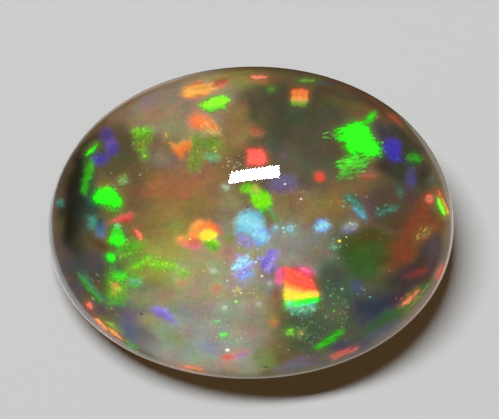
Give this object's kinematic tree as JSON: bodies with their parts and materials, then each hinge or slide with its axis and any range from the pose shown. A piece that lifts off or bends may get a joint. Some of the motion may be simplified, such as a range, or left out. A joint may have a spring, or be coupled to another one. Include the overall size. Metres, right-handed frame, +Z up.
{
  "type": "opal cabochon",
  "caption": "Oval polished opal cabochon with a high dome, a rounded girdle and a flat back; a dark translucent stone with play of colour.",
  "frame": {"origin": "middle of the flat back, on the surface that the stone rests on", "axes": "+Z up through the top of the dome, +X along the stone's length, +Y along its width"},
  "size_m": [0.014, 0.0112, 0.0055],
  "materials": {
    "opal": "polished to a mirror gloss"
  },
  "bodies": {
    "root": {"opal_cabochon": "opal"}
  },
  "joints": []
}
